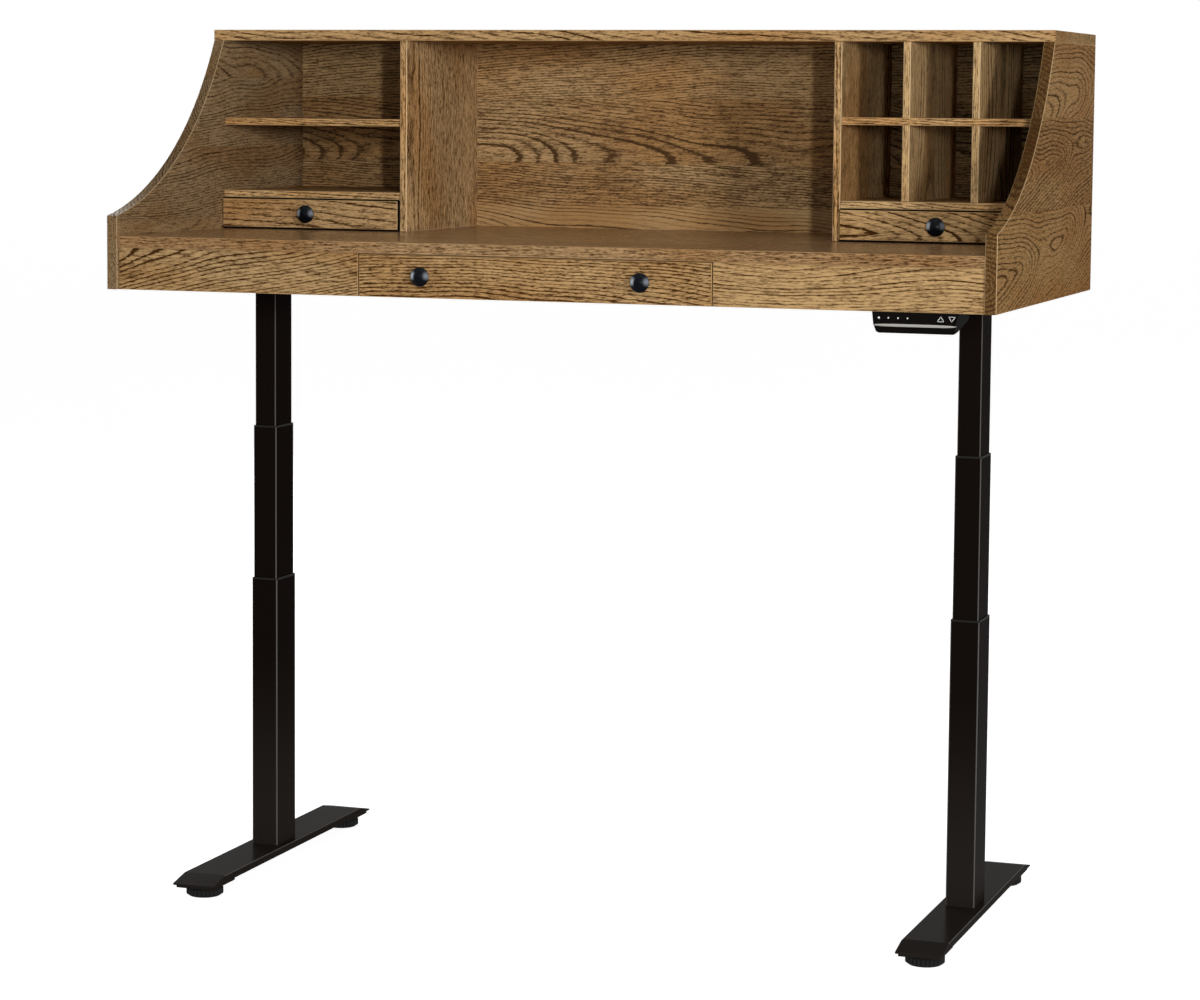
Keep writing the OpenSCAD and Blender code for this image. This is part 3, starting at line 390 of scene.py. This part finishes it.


# Feet, columns, side brackets and cross rails: folded and welded sheet steel and drawn tubes
# in black powder coat, with painted highlights on the corners and a painted reflection of the
# floor, paler, near the floor.
def steel(name, colour, roughness, metallic, mirror=0.1, corner_highlight=0.0, floor_reflection=0.0, grip_highlight=0.0):
    """Plain metal, plastic or lacquer with a fine mottle in tone, gloss and height. Corners
    where the normal lies halfway between X and Y or Z are painted paler, a painted highlight,
    in the given measure, and the lowest 0.4 m are painted paler towards the floor, a painted
    reflection of the pale floor. A turned knob gets painted highlights on its round face: at
    the left and, less, at the right."""
    made, tree, shader = blank(name)
    times = partial(sum_of, tree, "MULTIPLY")
    larger = partial(sum_of, tree, "MAXIMUM")
    size_of = partial(sum_of, tree, "ABSOLUTE")
    smooth = partial(spread, tree, kind="SMOOTHSTEP")
    point = add(tree, "TexCoord").outputs
    place = parts_of(tree, point["Object"])
    facing = parts_of(tree, point["Normal"])
    mottle = add(tree, "TexNoise")
    for term, socket in ((point["Object"], "Vector"), (900, "Scale"), (2, "Detail")):
        feed(tree, term, mottle.inputs[socket])
    speck = mottle.outputs["Fac"]

    darker, lighter = [(*[part * c for c in colour], 1) for part in (0.8, 1.2)]
    tone = mixed(tree, speck, darker, lighter)
    # Painted highlight: corners are mixed towards a pale grey.
    off_x = larger(larger(facing["y"], facing["z"]), times(facing["y"], -1))
    corner = size_of(times(facing["x"], off_x))
    corner_highlight_tone = (0.30, 0.29, 0.27, 1)
    tone = mixed(tree, spread(tree, corner, 0.33, 0.5, 0.0, corner_highlight), tone, corner_highlight_tone)
    # Painted reflection of the pale floor: the lowest 0.4 m turn paler towards this tone.
    mottle_and_floor_sheen = (0.085, 0.075, 0.065, 1)
    tone = mixed(tree, smooth(place["z"], 0.42, 0.05, 0.0, floor_reflection), tone, mottle_and_floor_sheen)
    # Painted highlights on a knob's round face, strongest at the left.
    if grip_highlight:
        round_face = ramp(tree, size_of(facing["y"]), (0.45, 0.0), (0.68, grip_highlight), (0.82, grip_highlight),
                          (0.93, 0.0))
        left_highlight = smooth(facing["x"], -0.25, -0.55, 0.0, 1.0)
        right_highlight = smooth(facing["x"], 0.25, 0.6, 0.0, 0.35)
        off_level = size_of(sum_of(tree, "SUBTRACT", facing["z"], 0.1))
        highlight_sides = times(sum_of(tree, "ADD", left_highlight, right_highlight), round_face)
        highlight_patch = times(highlight_sides, smooth(off_level, 0.42, 0.08, 0.0, 1.0))
        highlight_tone = (0.44, 0.49, 0.56, 1)
        tone = mixed(tree, highlight_patch, tone, highlight_tone)
    feed(tree, tone, shader.inputs["Base Color"])
    sheen = spread(tree, speck, 0.0, 1.0, roughness - 0.05, roughness + 0.05)
    feed(tree, sheen, shader.inputs["Roughness"])
    shader.inputs["Metallic"].default_value = metallic
    shader.inputs["Specular IOR Level"].default_value = mirror
    relief(tree, shader, speck, 0.06, 0.0003)
    return made


wear(["left_foot", "right_foot", "left_outer_tube", "right_outer_tube", "left_middle_tube",
      "right_middle_tube", "left_inner_tube", "right_inner_tube", "side_brackets",
      "cross_rails"],
     steel("black_powder_coat", (0.0068, 0.0044, 0.0036), 0.2, 0.0, 0.002, corner_highlight=0.35,
           floor_reflection=0.15))

# Inside the columns: moulded guides that keep the tubes apart, and bright push tubes, hollow
# screws and drive screws, turned and rolled from steel bar.
wear(["outer_guides", "left_middle_guide", "right_middle_guide"],
     steel("guide_plastic", (0.013, 0.012, 0.011), 0.45, 0.0))
wear(["lower_push_tubes", "left_upper_push_tube", "right_upper_push_tube",
      "left_drive_screw", "right_drive_screw", "left_hollow_screw", "right_hollow_screw"],
     steel("bright_steel", (0.52, 0.52, 0.53), 0.3, 1.0, 0.5))

# Under the desktop: zinc-plated rails and runners of the pencil drawer, painted gear housings
# with their motors on the columns' heads, and the control box moulded in black plastic.
wear(["drawer_rails", "pencil_drawer_runners"],
     steel("zinc_steel", (0.6, 0.61, 0.63), 0.35, 1.0, 0.5))
wear(["gear_motors"], steel("motor_paint", (0.025, 0.025, 0.027), 0.42, 0.0))
wear(["control_box"], steel("box_plastic", (0.014, 0.014, 0.014), 0.5, 0.0))

# Levelling glides: ribbed discs of hard black rubber, moulded on a threaded stem that screws
# into the foot.
wear(["front_left_glide", "rear_left_glide", "front_right_glide", "rear_right_glide"],
     steel("glide_rubber", (0.014, 0.014, 0.014), 0.6, 0.0))

# Handset: a moulded black housing under the right apron, with six keys in its leaning face.
# White outlines and dots are printed on the keys, and a grey bead along the lower front edge is a
# painted highlight of that rounded edge.
wear(["handset_housing"], steel("handset_plastic", (0.0055, 0.0045, 0.004), 0.25, 0.0, 0.004))
wear(["up_button", "down_button"], steel("key_dark", (0.009, 0.008, 0.008), 0.25, 0.0, 0.02))
wear(["memory_button_1", "memory_button_2", "memory_button_3", "memory_button_4"],
     steel("memory_key_dark", (0.010, 0.009, 0.009), 0.3, 0.0, 0.02))


def put(name, points, faces, material, body, slot):
    """New piece from an array of points and one of faces, riding on a body. Points in one
    place are joined, open ends are closed and the faces are turned outwards."""
    mesh = bpy.data.meshes.new(name)
    mesh.from_pydata(points.tolist(), [], faces.tolist())
    shell = bmesh.new()
    shell.from_mesh(mesh)
    bmesh.ops.remove_doubles(shell, verts=shell.verts, dist=1e-6)
    bmesh.ops.holes_fill(shell, edges=shell.edges)
    bmesh.ops.recalc_face_normals(shell, faces=shell.faces)
    shell.to_mesh(mesh)
    shell.free()
    mesh.materials.append(material)
    mesh.polygons.foreach_set("use_smooth", np.ones(len(mesh.polygons), dtype=bool))
    piece = bpy.data.objects.new(name, mesh)
    scene.collection.objects.link(piece)
    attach(piece, body)
    return piece


def grid_faces(rows, columns, close_rows, close_columns):
    """Quads between neighbours on a grid of rows by columns, wrapped where it is closed."""
    i = np.arange(rows if close_rows else rows - 1)
    j = np.arange(columns if close_columns else columns - 1)
    i, j = [a.ravel() for a in np.meshgrid(i, j, indexing="ij")]
    down, right = (i + 1) % rows, (j + 1) % columns
    return np.stack([i * columns + j, down * columns + j, down * columns + right,
                     i * columns + right], 1)


def laps(count):
    """Angles of the given count of points round a circle."""
    return np.linspace(0, 2 * np.pi, count, endpoint=False)


face_setback, face_height = 6, 18
lean = math.atan(face_setback / face_height)
leaning = Vector((0, -math.cos(lean), math.sin(lean)))


def on_key_face(centre, across, up, lift):
    """Points round a centre on the leaning face: across along X, up along the face and lift
    along its normal."""
    return np.stack([centre[0] + across,
                     centre[1] - lift * math.cos(lean) + up * math.sin(lean),
                     centre[2] + lift * math.sin(lean) + up * math.cos(lean)],
                    -1).reshape(-1, 3)


def arrow_line(centre, flip, side, width, height):
    """Closed bead round a triangle with rounded corners. The path's radius from the centre is
    that of a triangle of the given side, cut off by a circle at its corners and 0.88 as tall,
    and the section is an ellipse of the given width and height on the leaning key face."""
    steps, lap = 96, laps(12)
    turn = laps(steps)
    sector = (turn - np.pi / 2 + np.pi / 3) % (2 * np.pi / 3) - np.pi / 3
    inner = side / (2 * np.sqrt(3))
    straight = inner / np.cos(np.pi / 3 - np.abs(sector))
    corner_circle = side * 0.55
    radius = np.minimum(straight, corner_circle)
    out = radius[:, None] + width / 2 * np.cos(lap)
    across = out * np.cos(turn)[:, None]
    up = 0.88 * flip * (out * np.sin(turn)[:, None] - side / (4 * np.sqrt(3)))
    lift = height * np.sin(lap)[None, :] + 0 * out
    faces = grid_faces(steps, len(lap), True, True)
    return on_key_face(centre, across, up, lift), faces if flip > 0 else faces[:, ::-1]


def print_dot(centre, radius, height):
    """Flat dome on a memory key: radius r and height h * (1 - r * r / R * R), turned round the
    leaning face's normal and closed by a small flat at its top."""
    rings, turn = 6, laps(24)
    r = radius * np.linspace(1, 0.05, rings)
    across = r[:, None] * np.cos(turn)
    up = r[:, None] * np.sin(turn)
    lift = height * (1 - (r[:, None] / radius) ** 2) + 0 * across
    faces = grid_faces(rings, len(turn), False, True)[:, ::-1]
    return on_key_face(centre, across, up, lift), faces


def nose_bead(start, end, y, z, tall, proud):
    """Long bead from start to end along X. Its section is an ellipse, tall upwards and proud
    forwards, that shrinks to nothing at both ends as a superellipse of the sixth power."""
    rows, lap = 49, laps(24)
    s = np.sin(np.linspace(-np.pi / 2, np.pi / 2, rows))[:, None]
    size = (1 - np.abs(s) ** 6) ** (1 / 2)
    points = np.stack([(start + end) / 2 + (end - start) / 2 * s + 0 * lap,
                       y - proud * size * np.cos(lap), z + tall / 2 * size * np.sin(lap)], -1)
    return points.reshape(-1, 3), grid_faces(rows, len(lap), False, True)


def key_centre(key, above):
    """Point over the middle of a key, along the normal of the leaning face."""
    return (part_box(key)[0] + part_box(key)[1]) / 2 + above * leaning


key_print = steel("white_key_print", (0.82, 0.82, 0.80), 0.4, 0.0)
arrow_face, arrow_side, line_width, line_height = 0.0011, 0.0104, 0.0009, 0.0003
for key, flip in (("up_button", 1), ("down_button", -1)):
    put(key + "_outline",
        *arrow_line(key_centre(key, arrow_face), flip, arrow_side, line_width, line_height),
        key_print, key + "_body", "key_light")
dot_face, dot_height, dot_radii = 0.00112, 0.0002, (0.0017, 0.0013, 0.0013, 0.0013)
for number, radius in enumerate(dot_radii, 1):
    key = f"memory_button_{number}"
    put(key + "_dot", *print_dot(key_centre(key, dot_face), radius, dot_height), key_print,
        key + "_body", "key_light")
low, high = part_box("handset_housing")
end_gap, bead_tall, bead_proud = 0.003, 0.0052, 0.0016
bead_y, bead_z = low.y + 0.0012, high.z - 0.0196
# The grey bead is a painted highlight along the housing's lower front edge.
put("handset_nose_bead",
    *nose_bead(low.x + end_gap, high.x - end_gap, bead_y, bead_z, bead_tall, bead_proud),
    steel("painted_edge_highlight", (0.36, 0.345, 0.315), 0.2, 0.0, 0.3), "desk", "handset_plastic")


# Knobs: turned on a lathe in hardwood and lacquered blue-black, with painted highlights at the
# left and, less, at the right of the round face; each held by a screw from inside its drawer.
def turned(axis_x, face_y, axis_z, profile):
    """Surface of revolution round a line along -Y: at step s along the profile the radius is
    r(s) and the height over the drawer's face is h(s), both smoothed curves through the given
    points in millimetres."""
    rows, turn = 90, laps(64)
    r, h = np.array(profile, dtype=float).T / 1000
    step = np.concatenate([[0], np.cumsum(np.hypot(np.diff(r), np.diff(h)))])
    fine = np.linspace(0, step[-1], rows)
    soft = np.array([0.25, 0.5, 0.25])
    r, h = np.interp(fine, step, r), np.interp(fine, step, h)
    r[1:-1], h[1:-1] = np.convolve(r, soft, "valid"), np.convolve(h, soft, "valid")
    points = np.stack([axis_x + r[:, None] * np.cos(turn), face_y - h[:, None] + 0 * turn,
                       axis_z + r[:, None] * np.sin(turn)], -1)
    return points.reshape(-1, 3), grid_faces(rows, len(turn), False, True)[:, ::-1]


def joined(parts):
    """One array of points and one of faces from a list of such pairs."""
    counts = np.cumsum([0] + [len(points) for points, faces in parts])
    return (np.concatenate([points for points, faces in parts]),
            np.concatenate([faces + start for (points, faces), start in zip(parts, counts)]))


knob_foot = [(0, 0.1), (8.2, 0.1), (9.0, 0.8), (9.0, 1.8), (8.3, 2.5), (6.8, 3.0)]
knob_neck = [(5.8, 4.4), (5.5, 6.5), (5.8, 8.8), (6.3, 11.2), (7.2, 13.0)]
knob_head = [(11.0, 14.4), (14.8, 15.8), (15.8, 16.4), (16.0, 17.2), (15.2, 18.2),
             (13.4, 19.6), (11.0, 21.4), (8.0, 23.2), (4.5, 24.4), (2.0, 24.85), (0, 24.9)]
# The knobs' lacquer carries painted highlights at the sides of their round faces.
lacquer = steel("knob_lacquer", (0.0025, 0.0035, 0.0055), 0.28, 0.0, 0.07, grip_highlight=0.9)
for drawer, node, knobs_x, knob_z in (
    ("pencil_drawer", "pencil_drawer_knobs", (-0.1885, 0.1885), 1.0895),
    ("left_drawer", "left_drawer_knob", (-0.572,), 1.1725),
    ("right_drawer", "right_drawer_knob", (0.572,), 1.1725),
):
    face_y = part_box(drawer + "_front")[0].y
    knob = put(node + "_turned",
               *joined([turned(knob_x, face_y, knob_z, knob_foot + knob_neck + knob_head)
                        for knob_x in knobs_x]), lacquer, drawer, "knob_metal")
    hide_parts(node)

# Screws: black button heads with hexagonal sockets hold the columns to their gear housings
# and the side brackets and the control box's flanges to the desktop. Small flush screws hold
# the back panel in its rabbets and to the desktop.
domed_head = [(0, 0), (1, 0), (1, 0.3), (0.97, 0.5), (0.88, 0.75), (0.74, 0.93), (0.6, 1)]
deep_socket = [(0.5, 1), (0.49, 0.9), (0.48, 0.4), (0, 0.38)]
flush_head = [(0, 0), (1, 0), (1, 0.97), (0.99, 0.985), (0.97, 1)]
flush_socket = [(0.45, 1), (0.44, 0.985), (0.42, 0.97), (0, 0.965)]


def screw_heads(places, along, radius, height, head=domed_head, socket=deep_socket):
    """Heads at the given places that look along one axis. A head is a profile of radius and
    height turned round the axis; its socket's rings have the radius s / cos(a - 30 deg) with
    a the angle past the last corner, which makes them hexagonal."""
    turn = laps(48)
    profile = np.array(head + socket)
    six = 0.9 / np.cos(turn % (np.pi / 3) - np.pi / 6)
    factor = np.where(np.arange(len(profile))[:, None] >= len(head), six, 1.0)
    r = radius * profile[:, :1] * factor
    h = height * profile[:, 1:] + 0 * turn
    axis = np.array(along, dtype=float)
    points = (h[..., None] * axis + (r * np.cos(turn))[..., None] * np.roll(np.abs(axis), 1)
              + (r * np.sin(turn))[..., None] * np.roll(axis, 2)).reshape(-1, 3)
    faces = grid_faces(len(profile), len(turn), False, True)
    return joined([(points + place, faces) for place in np.array(places)])


screw_black = steel("blackened_screws", (0.02, 0.019, 0.018), 0.35, 0.6, 0.4)
down, back = (0, 0, -1), (0, 1, 0)
bracket_under, flange_under, desktop_middle = 1.1225, 1.122, 1.1345
column_screw, bracket_screw = (0.0043, 0.004), (0.0055, 0.0035)
flange_screw, panel_screw = (0.0038, 0.0024), (0.0032, 0.0006)
for side in ("left", "right"):
    low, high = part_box(side + "_inner_tube")
    x, y = (low.x + high.x) / 2, (low.y + high.y) / 2
    column_places = [(x + a, y + b, high.z) for a in (-0.027, 0.027) for b in (-0.028, 0.028)]
    bracket_places = [(x + a, y + b, bracket_under) for a in (-0.02, 0.02)
                      for b in (-0.235, -0.13, 0.13, 0.235)]
    put(side + "_head_screws", *screw_heads(column_places, down, *column_screw), screw_black,
        "desk", "motor_metal")
    put(side + "_bracket_screws", *screw_heads(bracket_places, down, *bracket_screw),
        screw_black, "desk", "black_steel")
low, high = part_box("control_box")
flange_places = [(x, (low.y + high.y) / 2 + b, flange_under)
                 for x in (low.x + 0.007, high.x - 0.007) for b in (-0.015, 0.015)]
put("control_box_screws", *screw_heads(flange_places, down, *flange_screw), screw_black,
    "desk", "box_plastic")
low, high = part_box("back_panel")
sunk_y, rabbet_middle, end_margin = high.y - 0.00057, 0.0045, 0.03
panel_places = [(x, sunk_y, z) for x in (low.x + rabbet_middle, high.x - rabbet_middle)
                for z in np.linspace(low.z + end_margin, high.z - end_margin, 5)]
panel_places += [(x, sunk_y, desktop_middle) for x in np.linspace(-0.6, 0.6, 5)]
put("back_panel_screws",
    *screw_heads(panel_places, back, *panel_screw, flush_head, flush_socket),
    screw_black, "desk", "black_steel")


# Shade strips and band: black strips round the edges of the small drawers' fronts, which close
# their gaps, and beside the pencil drawer are painted shade in those gaps; and a narrow oak
# band is glued to the left side panel before the shelf.
def soft_block(low, high, power):
    """Closed block between two corners with eased edges: the superellipsoid whose half widths
    go with cos(a) * cos(b), cos(a) * sin(b) and sin(a), each raised to the given power."""
    rows, columns = 25, 36
    a = np.linspace(-np.pi / 2, np.pi / 2, rows)[:, None]
    b = np.linspace(-np.pi, np.pi, columns, endpoint=False)[None, :]

    def eased(value):
        return np.sign(value) * np.abs(value) ** power

    shape = np.stack([eased(np.cos(a)) * eased(np.cos(b)), eased(np.cos(a)) * eased(np.sin(b)),
                      eased(np.sin(a)) + 0 * b], -1)
    low, high = np.array(low), np.array(high)
    points = (low + high) / 2 + shape * (high - low) / 2
    return points.reshape(-1, 3), grid_faces(rows, columns, False, True)[:, ::-1]


# Black strips that are painted shade in the drawers' gaps.
gap_shade = steel("painted_gap_shade", (0.004, 0.004, 0.004), 0.9, 0.0, 0.0)
thin, shade_foot, shade_shoulder, shade_top = 0.0001, 1.1443, 1.1985, 1.1997
for side in ("left", "right"):
    low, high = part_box(side + "_drawer_front")
    y0, y1, x0, x1 = low.y + 0.0025, high.y - 0.0005, low.x - 0.0011, high.x + 0.0011
    strips = [((x0, y0, shade_foot), (x1, y1, low.z - thin)),
              ((x0, y0 + 0.001, high.z + thin), (x1, low.y + 0.0075, shade_top)),
              ((x0, y0, shade_foot), (low.x - thin, y1, shade_shoulder)),
              ((high.x + thin, y0, shade_foot), (x1, y1, shade_shoulder))]
    put(side + "_drawer_gap_shade", *joined([soft_block(*strip, 0.12) for strip in strips]), gap_shade,
        side + "_drawer", "guide_plastic")
low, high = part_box("pencil_drawer_front")
y0, y1, slide_gap, apron_foot, apron_top = low.y + 0.0012, high.y - 0.004, 0.0003, 1.0545, 1.1245
gaps = ((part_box("left_apron")[1].x + thin, low.x - slide_gap),
        (high.x + slide_gap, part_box("right_apron")[0].x - thin))
put("pencil_drawer_gap_shade",
    *joined([soft_block((x0, y0, apron_foot), (x1, y1, apron_top), 0.1) for x0, x1 in gaps]),
    gap_shade, "desk", "guide_plastic")
put("left_shelf_band",
    *soft_block((-0.7429, -0.066, 1.3292), (-0.7396, 0.0400, 1.3414), 0.1),
    left_side_oak, "desk", "oak_panel")
